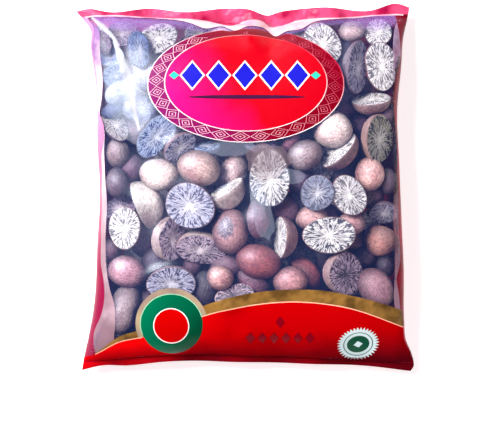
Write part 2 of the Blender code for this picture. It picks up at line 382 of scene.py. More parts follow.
def half_points(long, wide, pinch, crumbled, around, dome_rings, face_s):
    """One half's points in its own axes, in mm: pole of the dome, rings to its rim, rings in over the face.

    At a bearing t and a share s of the way out a point is (long/2, wide/2) * s * outline(t) * (cos t, sin t).
    The outline is 1 with a fuller end, two weak waves and a pinch. The dome hangs below as cos of the angle
    whose sine is s. The face has a small pit in its middle, and sums of sines make it and the skin uneven.
    """
    t = np.arange(around) / around * 2 * np.pi
    waves = TWO_WAVES * np.cos(2 * t + rng.uniform(0, 6)) + THREE_WAVES * np.cos(3 * t + rng.uniform(0, 6))
    strong, weak = (np.exp(-(((t - at) / PINCH_REACH) ** 2)) for at in PINCHED_AT)
    outline = 1 + FULL_END * np.cos(t) + waves - pinch * (strong + 0.5 * weak)
    depth = DOME_DEPTH * wide
    swing = (np.arange(dome_rings) + 1) / dome_rings * np.pi / 2
    dome_s, dome_z = np.sin(swing), -depth * np.cos(swing) - RIM_DROP * (swing / (np.pi / 2)) ** 6
    share = np.concatenate([dome_s, face_s])[:, None]
    ring_z = np.concatenate([dome_z, -PIT_MM * np.exp(-((face_s / PIT_SHARE) ** 2))])
    x = long / 2 * share * (outline * np.cos(t))
    y = wide / 2 * share * (outline * np.sin(t))
    wave = rng.uniform(-1, 1, (BUMPS, 2)) * np.linspace(SLOWEST, QUICKEST, BUMPS)[:, None]
    phase = rng.uniform(0, 6, BUMPS)
    bumps = sum(np.sin(k[0] * x + k[1] * y + f) for k, f in zip(wave, phase)) / BUMPS
    on_face = np.arange(len(share))[:, None] >= dome_rings
    z = ring_z[:, None] + np.where(on_face, crumbled * bumps, SKIN_BUMP * bumps * (share < BUMPS_END))
    rings = np.stack([x, y, z], axis=-1).reshape(-1, 3)
    points = np.concatenate([[[0, 0, -depth]], rings, [[0, 0, -PIT_MM]]])
    unit = np.stack([share * np.cos(t), share * np.sin(t)], axis=-1).reshape(-1, 2)
    return points, np.concatenate([[[0, 0]], unit, [[0, 0]]])


def ring_faces(rings, around):
    """Faces of a stack of rings with a pole at either end: triangles, quads, and each one's ring number."""
    k = np.arange(around)
    after = (k + 1) % around
    first = 1 + np.arange(rings - 1)[:, None] * around
    quads = np.stack([first + k, first + after, first + after + around, first + k + around], axis=-1)
    last = 1 + (rings - 1) * around
    start = np.stack([0 * k, 1 + after, 1 + k], axis=-1)
    end = np.stack([last + k, last + after, 0 * k + last + around], axis=-1)
    number = np.repeat([0, rings], around), np.repeat(np.arange(1, rings), around)
    return np.concatenate([start, end]), quads.reshape(-1, 4), *number


def linear(hex_colour):
    """An sRGB hex colour as linear red, green, blue and alpha."""
    share = np.array([int(hex_colour[k:k + 2], 16) for k in (0, 2, 4)]) / 255
    value = np.where(share <= 0.04045, share / 12.92, ((share + 0.055) / 1.055) ** 2.4)
    return (*value.tolist(), 1.0)


def put_in(name, data):
    """Puts a mesh, a light or a camera into the scene as an object."""
    thing = bpy.data.objects.new(name, data)
    bpy.context.scene.collection.objects.link(thing)
    return thing


def add_piece(mesh, materials):
    """Puts a mesh into the scene as a piece of the bag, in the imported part's own frame."""
    for material in materials:
        mesh.materials.append(material)
    mesh.update()
    piece = put_in(mesh.name, mesh)
    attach(piece, "root")
    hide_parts("bag")


def heap(name, lodged, around, dome_rings, face_shares, shade=(1.0, 1.0, 1.0)):
    """Joins lodged halves into one piece; its points know their place on face and skin, and their colours."""
    caps, quads, cap_ring, quad_ring = ring_faces(dome_rings + len(face_shares), around)
    count = 2 + (dome_rings + len(face_shares)) * around
    points = []
    stores = {"on_face": [], "on_skin": [], "skin": [], "flesh": [], "ray": []}
    for which, (half, height, matrix) in enumerate(lodged):
        x, y, long, wide, *_, look = half
        crumbled = CRUMBLED if look == "broken" else SAWN
        pinch = PINCH if long > LONG_FROM * wide else 0.0
        local, unit = half_points(long, wide, pinch, crumbled, around, dome_rings, np.array(face_shares))
        sunk = matrix @ np.array([0, 0, -MIDDLE * DOME_DEPTH * wide])
        centre = np.array([x, y, height]) - sunk
        points.append((local @ matrix.T + centre) * MM)
        stores["on_face"].append(np.column_stack([unit, np.full(count, which * NEXT_FACE)]))
        stores["on_skin"].append(local + which * NEXT_SKIN)
        *colours, rays, chipped = LOOKS[look]
        for label, hex_colour, strength in zip(("skin", "flesh", "ray"), colours, (chipped, rays, rays)):
            # A shade, where one is given, darkens and tints the colours of halves deep in the heap: painted
            # shade.
            tint = np.array(linear(hex_colour)[:3]) * (rng.uniform(*TONES) * np.array(shade))
            stores[label].append(np.tile([*tint, strength], (count, 1)))
    shift = np.arange(len(lodged))[:, None, None] * count
    corners = (caps + shift).reshape(-1, 3).tolist() + (quads + shift).reshape(-1, 4).tolist()
    cut = np.concatenate([np.tile(ring > dome_rings, len(lodged)) for ring in (cap_ring, quad_ring)])
    mesh = bpy.data.meshes.new(name)
    mesh.from_pydata(np.concatenate(points).tolist(), [], corners)
    mesh.polygons.foreach_set("material_index", cut.astype(np.int32))
    mesh.polygons.foreach_set("use_smooth", np.ones(len(corners), bool))
    for label, rows in stores.items():
        kind, field = ("FLOAT_VECTOR", "vector") if label.startswith("on_") else ("FLOAT_COLOR", "color")
        mesh.attributes.new(label, kind, "POINT").data.foreach_set(field, np.concatenate(rows).ravel())
    add_piece(mesh, (skin_material, cut_material))


def fill(tree, target, inputs):
    """Fills a node's sockets, by name or in their order: with a value, a hex colour or a node's output."""
    for key, value in inputs.items() if isinstance(inputs, dict) else enumerate(inputs):
        if isinstance(value, bpy.types.NodeSocket):
            tree.links.new(value, target.inputs[key])
        else:
            target.inputs[key].default_value = linear(value) if isinstance(value, str) else value


def new_material(name, inputs=None):
    """A material with its node tree and its Principled shader, filled with the values given."""
    material = bpy.data.materials.new(name)
    material.use_nodes = True
    shader = material.node_tree.nodes["Principled BSDF"]
    fill(material.node_tree, shader, inputs or {})
    return material, material.node_tree, shader


def node(tree, kind, inputs=None, out=0, **settings):
    """Adds a node, sets properties, fills inputs, gives an output. A mix blends its colours 6 and 7 by 0."""
    new = tree.nodes.new("ShaderNode" + kind)
    if kind == "Mix":
        new.data_type, out = "RGBA", 2
    for key, value in settings.items():
        setattr(new, key, value)
    fill(tree, new, inputs or {})
    return new.outputs[out]


def from_spot(tree, place, spot=(0.0, 0.0, 0.0)):
    """The way over the cut face from a spot on it and how long it is, in shares of the half's radii."""
    way = node(tree, "VectorMath", (place, spot), operation="SUBTRACT")
    flat = node(tree, "VectorMath", (way, (1.0, 1.0, 0.0)), operation="MULTIPLY")
    return flat, node(tree, "VectorMath", (flat,), operation="LENGTH", out=1)


# Dried betel nut skin: matt and leathery, pale pink brown where it is rubbed and deep purple brown elsewhere,
# with fine fibres and a faint net of veins about 3 mm apart. It is darker towards the cut, as painted shade
# where the dome turns away from the light. Where it is chipped the seed flesh shows through. The eye sees
# dull grained domes with dark rims of painted shade.
VEIN_SPACING_MM, CLOUD_MM, FIBRE_MM = 3.0, 11.0, 0.9
WAVER_PER_MM, WAVER_MM, SPECKLES_PER_MM = 0.45, 2.2, 1.1
DEEPER = (0.5, 0.28, 0.34)
CHIPPED_AT = (0.2, -0.26, 0.0)
skin_material, tree, shader = new_material("dried_nut_skin")
place = node(tree, "Attribute", attribute_name="on_skin", out=1)
base = node(tree, "Attribute", attribute_name="skin")
deep = node(tree, "VectorMath", (base, DEEPER), operation="MULTIPLY")
cloud = node(tree, "TexNoise", {"Vector": place, "Scale": 1 / CLOUD_MM, "Detail": 4.0, "Roughness": 0.6})
share = node(tree, "MapRange", (cloud, 0.44, 0.66, 0.0, 0.65))
clouded = node(tree, "Mix", {0: share, 6: base, 7: deep})
drift = node(tree, "TexNoise", {"Vector": place, "Scale": WAVER_PER_MM, "Detail": 2.0}, out=1)
drifted = node(tree, "VectorMath", (drift, (WAVER_MM,) * 3, place), operation="MULTIPLY_ADD")
net = node(tree, "TexVoronoi", {"Vector": drifted, "Scale": 1 / VEIN_SPACING_MM}, feature="DISTANCE_TO_EDGE")
vein = node(tree, "MapRange", (net, 0.0, 0.2, 1.0, 0.0))
stretched = node(tree, "VectorMath", (drifted, (0.45, 1.0, 1.0)), operation="MULTIPLY")
fibre = node(tree, "TexNoise", {"Vector": stretched, "Scale": 1 / FIBRE_MM, "Detail": 3.0, "Roughness": 0.6})
coarse = node(tree, "Math", (vein, 0.1, fibre), operation="MULTIPLY_ADD")
grain = node(tree, "MapRange", (coarse, 0.3, 0.7, 0.5, 1.46))
on_face = node(tree, "Attribute", attribute_name="on_face", out=1)
_, outwards = from_spot(tree, on_face)
# Darker towards the rim of the dome: painted shade.
painted_rim_shade = node(tree, "MapRange", (outwards, 0.5, 1.0, 1.1, 0.42))
rim_darkened_grain = node(tree, "Math", (grain, painted_rim_shade), operation="MULTIPLY")
fibrous = node(tree, "VectorMath", {0: clouded, "Scale": rim_darkened_grain}, operation="SCALE")
_, away = from_spot(tree, on_face, CHIPPED_AT)
ragged = node(tree, "Math", (fibre, 0.5, away), operation="MULTIPLY_ADD")
chip = node(tree, "MapRange", (ragged, 0.66, 0.74, 1.0, 0.0))
is_chipped = node(tree, "Attribute", attribute_name="skin", out=3)
chipped = node(tree, "Math", (chip, is_chipped), operation="MULTIPLY")
speckle = node(tree, "TexNoise", {"Vector": place, "Scale": SPECKLES_PER_MM, "Detail": 2.0})
speckled = node(tree, "MapRange", (speckle, 0.4, 0.62))
bare = node(tree, "Mix", {0: speckled, 6: "8E808A", 7: "4E3C52"})
worn = node(tree, "Mix", {0: chipped, 6: fibrous, 7: bare})
relief = node(tree, "Bump", {"Height": coarse, "Strength": 0.8, "Distance": 0.8 * MM})
fill(tree, shader, {"Base Color": worn, "Roughness": 0.6, "IOR": 1.45, "Normal": relief})

# The cut face: hard ivory seed flesh, sawn through, whiter in its middle where it is pale, with thin rays of
# tannin that run in from the rim and fork. They are cut slightly deeper than the flesh. The eye sees chalky
# white between dark dashes that all point to the middle, and a thin dark edge of skin. Each kind of ray: how
# many noise cells lie round the rim and along it, where it fades in on its way out, and where it turns dark.
BOLD_RAYS = (15.0, 1.9, 0.1, 0.34, 0.555, 0.6)
FINE_RAYS = (28.0, 3.8, 0.3, 0.6, 0.565, 0.61)
INNER_RAYS = (7.0, 4.0, 0.08, 0.2, 0.58, 0.62)
BENDS, BEND = 3.6, (0.2, 0.2, 0.0)
EDGE_TONE = (0.6, 0.5, 0.55)
cut_material, tree, shader = new_material("cut_nut_flesh")
place = node(tree, "Attribute", attribute_name="on_face", out=1)
which = node(tree, "SeparateXYZ", (place,), out=2)
flat, reach = from_spot(tree, place)
bearing = node(tree, "VectorMath", (flat,), operation="NORMALIZE")
wander = node(tree, "TexNoise", {"Vector": place, "Scale": BENDS, "Detail": 3.0}, out=1)
wandered = node(tree, "VectorMath", (wander, BEND, bearing), operation="MULTIPLY_ADD")
rayed = 0.0
for rays, lengthwise, inner, outer, low, high in (BOLD_RAYS, FINE_RAYS, INNER_RAYS):
    spread = node(tree, "VectorMath", {0: wandered, "Scale": rays}, operation="SCALE")
    depth = node(tree, "Math", (reach, lengthwise, which), operation="MULTIPLY_ADD")
    lift = node(tree, "CombineXYZ", {2: depth})
    along_ray = node(tree, "VectorMath", (spread, lift), operation="ADD")
    grain = node(tree, "TexNoise", {"Vector": along_ray, "Scale": 1.0, "Detail": 1.0})
    dark = node(tree, "MapRange", (grain, low, high))
    fade = node(tree, "MapRange", (reach, inner, outer))
    marks = node(tree, "Math", (dark, fade), operation="MULTIPLY")
    rayed = node(tree, "Math", (rayed, marks), operation="MAXIMUM")
strength = node(tree, "Attribute", attribute_name="ray", out=3)
amount = node(tree, "Math", (rayed, strength), operation="MULTIPLY")
flesh = node(tree, "Attribute", attribute_name="flesh")
ray = node(tree, "Attribute", attribute_name="ray")
middle = node(tree, "MapRange", (reach, 0.1, 0.7, 0.4, 0.0))
paleness = node(tree, "RGBToBW", (flesh,))
pale = node(tree, "MapRange", (paleness, 0.0, 0.12))
whiter = node(tree, "Math", (middle, pale), operation="MULTIPLY")
whitened = node(tree, "Mix", {0: whiter, 6: flesh, 7: "ECE9E6"})
marbled = node(tree, "Mix", {0: amount, 6: whitened, 7: ray})
rim = node(tree, "MapRange", (reach, 0.955, 0.985))
skin = node(tree, "Attribute", attribute_name="skin")
edge = node(tree, "VectorMath", (skin, EDGE_TONE), operation="MULTIPLY")
edged = node(tree, "Mix", {0: rim, 6: marbled, 7: edge})
relief = node(tree, "Bump", {"Height": rayed, "Strength": 0.6, "Distance": 0.3 * MM}, invert=True)
fill(tree, shader, {"Base Color": edged, "Roughness": 0.62, "IOR": 1.5, "Normal": relief})

# The front halves are set from the foremost on. Rings on a half's face lie at shares of the way to its rim.
FACE_RINGS = (0.965, 0.9, 0.76, 0.6, 0.44, 0.28, 0.13)
rng = np.random.default_rng(7)
lodged = []
for half in sorted(HALVES, key=lambda row: row[7]):
    x, y, long, wide, turn, lean, toward = half[:7]
    height, room, low, high, matrix = lodge(x, y, NEARLY * long, NEARLY * wide, turn, lean, toward)
    keep(low, high)
    lodged.append((half, height, matrix))
heap("halves_at_the_front", lodged, 36, 12, FACE_RINGS)


# The halves behind them, and those under the print. The same nuts, dropped in without order: each one goes
# where the heap is still lowest, turned the way that fits best out of a few. Their colours are darkened and
# tinted blue, as painted shade for the gaps between the front ones, where little light comes down to them.
# Lengths are in mm, and smaller near the sides.
BEHIND, TRIES = 150, 4
BEHIND_BY, SPENT_MM, ASTRAY_MM = 3.0, 5.0, 1.5
LONG_BEHIND, WIDE_FOR_LONG = (17, 24), (0.72, 0.9)
SMALLER_FROM, SMALLER_TO, SMALLER_BY = 62, 80, 0.3
LOOK_AROUND = (-4, 0, 4)
PAINTED_GAP_SHADE = (0.44, 0.45, 0.56)


def lowest(bed, around):
    """Where the heap, or the bed if that is higher, leaves most room under the film, or close beside it."""
    lack = np.where(spent, 0, front_mm - np.maximum(heap_top, bed))
    wide_lack = sum(np.roll(lack, (i, j), (0, 1)) for i in around for j in around)
    row, column = np.unravel_index(np.argmax(np.where(spent, 0, wide_lack)), lack.shape)
    return np.array([ground_x[row, column], ground_y[row, column]]) + rng.uniform(-ASTRAY_MM, ASTRAY_MM, 2)


behind = []
ceiling = np.minimum(ceiling, creased_mm - GAP - BEHIND_BY)
spent = ~in_bag
for _ in range(BEHIND):
    x, y = lowest(back_mm, LOOK_AROUND)
    best = None
    for _ in range(TRIES):
        long = rng.uniform(*LONG_BEHIND) * (1 - SMALLER_BY * step(SMALLER_FROM, SMALLER_TO, abs(x)))
        wide = long * rng.uniform(*WIDE_FOR_LONG)
        lean = rng.choice([0, 180, 180]) + rng.uniform(-30, 30)
        turn, toward = rng.uniform(0, 360, 2)
        fit = lodge(x, y, ROOMY * long, ROOMY * wide, turn, lean, toward)
        if fit[1] > 0 and (best is None or fit[0] > best[1][0]):
            best = ((x, y, long, wide, rng.choice(["plum", "dark", "dusk", "red"])), fit)
    if best is None:
        spent |= np.hypot(ground_x - x, ground_y - y) < SPENT_MM
    else:
        half, (height, room, low, high, matrix) = best
        keep(low, high)
        behind.append((half, height, matrix))
heap("halves_behind", behind, 18, 5, (0.96, 0.6, 0.2), PAINTED_GAP_SHADE)


# Those at the bottom of the heap lie on the back film and cover it, built up from there into what room is
# left, each try with a smaller one. Their colours are darkened most, as painted shade.
BENEATH = 90
LONG_BENEATH, SMALLER_EACH_TRY = (18, 24), 0.12
PAINTED_BENEATH_SHADE = (0.3, 0.31, 0.4)


def lie(x, y, long, wide, turn, lean, toward):
    """Lowers a half at x, y onto the back film or a half that lies there; its height, its room above."""
    matrix = leant(turn, lean, toward)
    low, high = spans(x, y, long, wide, matrix)
    height = np.nanmax(floor - low)
    room = -1 if np.any(~np.isnan(low) & ~in_bag) else np.nanmin(ceiling - high - height)
    return height, room, high + height, matrix


beneath = []
floor = back_mm + GAP
spent = ~in_bag
for _ in range(BENEATH):
    x, y = lowest(floor, (0,))
    for tried in range(TRIES):
        long = rng.uniform(*LONG_BENEATH) * (1 - SMALLER_EACH_TRY * tried)
        wide = long * rng.uniform(*WIDE_FOR_LONG)
        turn, toward = rng.uniform(0, 360, 2)
        height, room, high, matrix = lie(x, y, ROOMY * long, ROOMY * wide, turn, rng.uniform(-25, 25), toward)
        if room > 0:
            held = ~np.isnan(high)
            floor[held] = np.maximum(floor[held], high[held])
            beneath.append(((x, y, long, wide, rng.choice(["plum", "dark", "red"])), height, matrix))
            break
    else:
        spent |= np.hypot(ground_x - x, ground_y - y) < SPENT_MM
heap("halves_beneath", beneath, 14, 4, (0.95,), PAINTED_BENEATH_SHADE)


# The front film, clear polypropylene, cast smooth. Drawn down over the halves by the air sucked out, it rests
# on their tops, bridges the gaps in shallow hollows, and stands off them, taut, beside the label's left end.
# Its faint blue haze is painted reflection: a blue colour in the film stands in for a bluish sky and tints
# the shade between the nuts. The eye also sees soft wide glare and thin lights along its creases.
SAG_MM = 2.4
DRAWN, STIFFENED = 30, 4
FARTHEST_MM = 40
TIGHT_FROM, TIGHT_TO = 0.12, 0.6
TAUT_AT, TAUT_REACH, TAUTNESS = (-67, 58), (26, 38), 0.95
limit = np.clip(creased_mm - heap_top - GAP, 0, FARTHEST_MM)
tight = step(TIGHT_FROM, TIGHT_TO, swell(ground_across, ground_along))
from_taut = ((ground_x - TAUT_AT[0]) / TAUT_REACH[0]) ** 2 + ((ground_y - TAUT_AT[1]) / TAUT_REACH[1]) ** 2
drop = SAG_MM * tight * (1 - TAUTNESS * np.exp(-from_taut))
for turn in range(DRAWN + STIFFENED):
    padded = np.pad(drop, 1, mode="edge")
    beside = padded[:-2, 1:-1] + padded[2:, 1:-1] + padded[1:-1, :-2] + padded[1:-1, 2:]
    drop = (4 * drop + beside) / 8
    if turn < DRAWN:
        drop = np.minimum(drop, limit) * np.minimum(1, tight * 4)


def spline_weights(u):
    """The four weights of a cubic B-spline at a share u of the way between two grid lines."""
    return ((1 - u) ** 3 / 6, (3 * u**3 - 6 * u**2 + 4) / 6, (-3 * u**3 + 3 * u**2 + 3 * u + 1) / 6, u**3 / 6)


def front_film(x, y):
    """Height of the front film at places in plan: the pillow, less the drawn-down drop, with its creases."""
    front, _ = pillow(x, y)
    column = (x / MM - ground_x[0, 0]) / STEP_MM
    row = (y / MM - ground_y[0, 0]) / STEP_MM
    i = np.clip(np.floor(row).astype(int), 1, drop.shape[0] - 3)
    j = np.clip(np.floor(column).astype(int), 1, drop.shape[1] - 3)
    down = 0
    for di, weight_row in zip(range(-1, 3), spline_weights(np.clip(row - i, 0, 1))):
        for dj, weight_column in zip(range(-1, 3), spline_weights(np.clip(column - j, 0, 1))):
            down = down + weight_row * weight_column * drop[i + di, j + dj]
    return front - down * MM + creases(x / MM, y / MM) * MM


def sheet(name, x, y, z, material, closed=False, in_pairs=False):
    """A piece from a grid of points, rows by columns, closed round or with only each pair of rows joined."""
    rows, columns = x.shape
    index = np.arange(rows * columns).reshape(rows, columns)
    if closed:
        index = np.concatenate([index, index[:, :1]], axis=1)
    row, after = index[:-1:1 + in_pairs], index[1::1 + in_pairs]
    quads = np.stack([row[:, :-1], row[:, 1:], after[:, 1:], after[:, :-1]], axis=-1).reshape(-1, 4)
    mesh = bpy.data.meshes.new(name)
    mesh.from_pydata(np.stack([x, y, z], axis=-1).reshape(-1, 3).tolist(), [], quads.tolist())
    mesh.polygons.foreach_set("use_smooth", np.ones(len(quads), bool))
    add_piece(mesh, [material])


def clouds(tree, span_mm, detail=2.0):
    """Smooth noise over the bag, so many mm from crest to crest."""
    place = node(tree, "TexCoord", out=3)
    return node(tree, "TexNoise", {"Vector": place, "Scale": 1 / (span_mm * MM), "Detail": detail})


def crumple(tree, shader, span_mm, strength, deep_mm):
    """Crumples a film or its ink: crests so many mm apart and so deep, as relief."""
    relief = {"Height": clouds(tree, span_mm), "Strength": strength, "Distance": deep_mm * MM}
    fill(tree, shader, {"Normal": node(tree, "Bump", relief)})


# The blue base colour, seen at a low alpha, is painted reflection of a bluish sky.
film_material, tree, shader = new_material("clear_cast_film", {
    "Base Color": "4A6CCC", "Roughness": 0.3, "IOR": 2.6, "Alpha": 0.09})
crumple(tree, shader, 18, 0.15, 1.5)
FRONT_COLUMNS, FRONT_ROWS = 200, 216
SIDE_CROWDING = 0.7
HAIR = 1e-9


def crowd(share):
    """Shares across, crowded towards the sides where the film turns down: part of the way to their sine."""
    return share + SIDE_CROWDING * (np.sin(np.pi / 2 * share) - share)


def grid(first, second):
    """A grid of even steps: each way from a first to a last value in so many points."""
    return np.meshgrid(np.linspace(*first), np.linspace(*second))


def at_rim(across, along):
    """Whether points lie on the bag's outline, where the front and the back film meet."""
    return (np.abs(across) > 1 - HAIR) | (np.abs(along) > 1 + WELD_SHARE - HAIR)


share_x, share_y = grid((-1, 1, FRONT_COLUMNS + 1), (-1, 1, FRONT_ROWS + 1))
across, along = crowd(share_x), share_y * (1 + WELD_SHARE)
x, y = plan(across, along)
z = front_film(x, y) - np.where(at_rim(across, along), HALF_WELD, 0)
sheet("front_film", x, y, z, film_material)


# The printed back. The other side of the same tube, reverse printed all over in pink and crimson ink, which
# laps round both sides onto the front. It lies flat on the table where the nuts press it down. The eye sees
# clouded dull pink at the top left that deepens to crimson. Laps: how far in, in mm, at some y.
LEFT_LAP = ((-103, 9), (-93, 6), (-88, 4), (-80, 3), (-73, 5), (-62, 6), (-50, 4.5), (-44, 3.2), (-30, 2.6),
            (-20, 2.0), (-10, 1.6), (0, 1.4), (8, 2.2), (18, 2.6), (25, 4.4), (35, 4.2), (42, 1.2), (56, 0.9),
            (66, 1.4), (80, 1.0), (90, 2.2), (96, 3), (103, 8))
RIGHT_LAP = ((-103, 8), (-90, 5), (-75, 2), (-62, 3), (-50, 4.5), (-42, 2.5), (-25, 2.2), (0, 1.6), (35, 1.6),
             (45, 2.6), (60, 2.8), (74, 0.8), (86, 3), (96, 7), (103, 8))
# One layer of ink stands so far off the film, more than the real one so that it shows, and shines weakly.
PRINT_LIFT, PRINT_GLOSS = 0.07 * MM, 0.06


def blend(tree, first, last, slant, low, high, drift=0.0, cloud_mm=0, detail=3.0):
    """One colour that runs into another, from low to high, along a slant.

    The slant is x and y in metres, each times its number in slant, added up. Its border drifts with clouds,
    so many metres from end to end and so many mm wide, where a drift is given.
    """
    position = node(tree, "TexCoord", out=3)
    way = node(tree, "VectorMath", (position, (*slant, 0.0)), operation="DOT_PRODUCT", out=1)
    if drift:
        way = node(tree, "Math", (clouds(tree, cloud_mm, detail), drift, way), operation="MULTIPLY_ADD")
    share = node(tree, "MapRange", (way, low + drift / 2, high + drift / 2))
    return node(tree, "Mix", {0: share, 6: first, 7: last})


def mottled(tree, plain, darker, cloud_mm, low, high):
    """A colour with clouds of a darker one, so many mm wide: none where the noise is low, all where high."""
    share = node(tree, "MapRange", (clouds(tree, cloud_mm), low, high))
    return node(tree, "Mix", {0: share, 6: plain, 7: darker})


pink_material, tree, shader = new_material("pink_ink_on_film", {
    "Roughness": 0.28, "IOR": 1.5, "Specular IOR Level": PRINT_GLOSS})
left_tint = blend(tree, "D880AC", "86143E", (0.0, 1.0), 0.04, -0.045)
tint = blend(tree, left_tint, "740620", (1.0, 0.0), -0.09, 0.09)
darker = node(tree, "Mix", {0: 0.7, 6: tint, 7: "A00438"})
fill(tree, shader, {"Base Color": mottled(tree, tint, darker, 36, 0.5, 0.64)})
crumple(tree, shader, 9, 0.3, 1.0)

BACK_ROWS, BACK_COLUMNS, LAP_COLUMNS = 108, 90, 12
LAP_SPREAD = 1.1
along = np.linspace(-1, 1, BACK_ROWS + 1)[:, None] * (1 + WELD_SHARE)
_, side_y = plan(np.full_like(along, -1.0), along)
left_lap, right_lap = (smooth(lap, side_y) / HALF_WIDTH * LAP_SPREAD for lap in (LEFT_LAP, RIGHT_LAP))
turn_in = np.linspace(1, 0, LAP_COLUMNS + 1)[:-1] ** 2
crowded = crowd(np.linspace(-1, 1, BACK_COLUMNS + 1))[None, :] + 0 * along
across = np.concatenate([-1 + left_lap * turn_in, crowded, 1 - right_lap * turn_in[::-1]], axis=1)
along = along + 0 * across
x, y = plan(across, along)
on_front = np.zeros(across.shape, bool)
on_front[:, :LAP_COLUMNS] = on_front[:, -LAP_COLUMNS:] = True
_, back = pillow(x, y)
z = np.where(on_front, front_film(x, y), back + np.where(at_rim(across, along), HALF_WELD, 0))
dx, dy, dz = (np.gradient(axis, axis=1) for axis in (x, y, z))
ex, ey, ez = (np.gradient(axis, axis=0) for axis in (x, y, z))
normal = np.stack([dz * ey - dy * ez, dx * ez - dz * ex, dy * ex - dx * ey], axis=-1)
normal /= np.maximum(np.linalg.norm(normal, axis=-1, keepdims=True), 1e-12)
x, y, z = (axis + PRINT_LIFT * normal[..., k] for k, axis in enumerate((x, y, z)))
sheet("printed_back", x, y, np.maximum(z, 0), pink_material)


# Print follows the film's slope, which is read over so short a way on either side and no steeper than this.
PROBE, STEEPEST = 0.2 * MM, 3


def printed(name, x, y, layers, material, closed=False):
    """Lays print on the front film at x, y, raised along the film's own slope by so many layers of ink."""
    slope_x = (front_film(x + PROBE, y) - front_film(x - PROBE, y)) / (2 * PROBE)
    slope_y = (front_film(x, y + PROBE) - front_film(x, y - PROBE)) / (2 * PROBE)
    slope_x, slope_y = (np.clip(slope, -STEEPEST, STEEPEST) for slope in (slope_x, slope_y))
    lift = layers * PRINT_LIFT / np.sqrt(1 + slope_x**2 + slope_y**2)
    z = front_film(x, y) + lift
    sheet(name, x - lift * slope_x, y - lift * slope_y, z, material, closed)


def ink(name, hex_colour, roughness, dark="", cloud_mm=25, crumpled=0.25, deep_mm=1.0):
    """Glossy ink under film in one colour, clouded with a darker one where one is given."""
    material, tree, shader = new_material(name)
    colour = mottled(tree, hex_colour, dark, cloud_mm, 0.42, 0.68) if dark else hex_colour
    fill(tree, shader, {"Base Color": colour, "Roughness": roughness, "IOR": 1.5,
                        "Specular IOR Level": PRINT_GLOSS})
    crumple(tree, shader, 9, crumpled, deep_mm)
    return material


# The pale folds beside the window. Where the clear film turns down to the sides it stands edge on, and two
# layers of it lie together. The eye sees them milky and faintly pink from the ink behind: partly their own
# haze, partly painted sheen of the light on the edge-on film. The violet at their head is painted glare.
# Widths in mm from each side, at some y.
LEFT_FOLD = ((-98, 4), (-92, 13), (-80, 15), (-66, 13), (-56, 9), (-47, 7), (-30, 5.5), (-10, 5), (5, 4.2),
             (20, 4.6), (32, 5), (42, 2), (48, 3.2), (60, 5), (72, 5.6), (84, 5.6), (92, 4), (97, 1))
RIGHT_FOLD = ((-98, 5), (-80, 4), (-62, 6.4), (-50, 6.2), (-35, 5.4), (-18, 5.6), (0, 4), (12, 1.8),
              (36, 2), (60, 4.8), (80, 6), (92, 6), (98, 4))
FOLD_SPREAD, FOLD_DRIFT = 1.05, 0.12
THINNEST = 0.2 * MM


def folded_film(name, head, upper, lower, alpha):
    """Two layers of film, crumpled and see-through: one colour at its head, a second and a third below."""
    material, tree, shader = new_material(name, {"Roughness": 0.3, "Alpha": alpha})
    below = blend(tree, upper, lower, (0.0, 1.0), 0.0, -0.06, FOLD_DRIFT, 22)
    colour = blend(tree, below, head, (0.0, 1.0), 0.07, 0.085, FOLD_DRIFT, 22)
    fill(tree, shader, {"Base Color": colour})
    crumple(tree, shader, 11, 0.3, 1.0)
    return material


fold_material = folded_film("milky_folds_with_painted_sheen", "9C66B4", "F4DCEA", "AC8896", 0.6)
thin_fold_material = folded_film("thin_folds_with_painted_sheen", "DCC0EA", "421824", "C898B0", 0.5)
for name, lap, fold, side, material in (("left_fold", LEFT_LAP, LEFT_FOLD, -1, fold_material),
                                        ("right_fold", RIGHT_LAP, RIGHT_FOLD, 1, thin_fold_material)):
    share, y = grid((0, 1, 9), (-96 * MM, 96 * MM, 161))
    lapped = smooth(lap, y)
    inward = lapped + share * (np.maximum(smooth(fold, y), lapped + THINNEST) - lapped)
    x = between_sides(side * (1 - inward / HALF_WIDTH * FOLD_SPREAD), y)
    printed(name, x[:, ::side], y, 0.5, material)


# The top weld, where both films are melted together, printed pink down to a scalloped line, and under it a
# pale fold of bare welded film that hangs over the head of the label. The eye sees cloudy pink ink with
# crinkled lights, and under it the fold's pale pink, a painted highlight where the light catches the bend.
# Heights in mm at some x.
PINK_EDGE = ((-95.6, 96.8), (-80.4, 97.2), (-53.4, 95.7), (-25.3, 93.5), (-8.4, 90.4), (-0.6, 93.6),
             (9.6, 93.6), (14, 91), (19.7, 91), (31, 94), (59, 95.7), (83.8, 97.8), (95.6, 97.8))
FOLD_EDGE = ((-95.6, 96.2), (-80.4, 96.4), (-53.4, 94.6), (-36, 91.8), (-27, 88.4), (-15, 89.6), (-8.4, 87.2),
             (0.6, 89.9), (9.6, 89.2), (17.4, 84.2), (25, 87.0), (33, 88.0), (40, 91.8), (59, 94.6),
             (83.8, 97.0), (95.6, 97.0))
# Pale pink ink on the bare fold: a painted highlight.
weld_fold_highlight_material = ink("weld_bend_painted_highlight", "EBC6CE", 0.3, "D795AE", 14)
across, share = grid((-1, 1, 241), (0, 1, 13))


def under_weld(name, low, high, reach, lift, material):
    """A strip along the top between two rows of heights, reaching a share of the way out to both sides."""
    y = low + share * (high - low)
    printed(name, between_sides(across * reach, y), y, lift, material)


pink_edge, fold_edge = smooth(PINK_EDGE, across * HALF_WIDTH), smooth(FOLD_EDGE, across * HALF_WIDTH)
under_weld("top_weld", pink_edge, smooth(TOP_EDGE, across * HALF_WIDTH), 1.0, 6,
           ink("pink_weld_ink", "D04874", 0.25, "9C1040", 14, crumpled=0.7, deep_mm=4.0))
under_weld("pale_weld_fold", fold_edge, pink_edge, 0.97, 6, weld_fold_highlight_material)


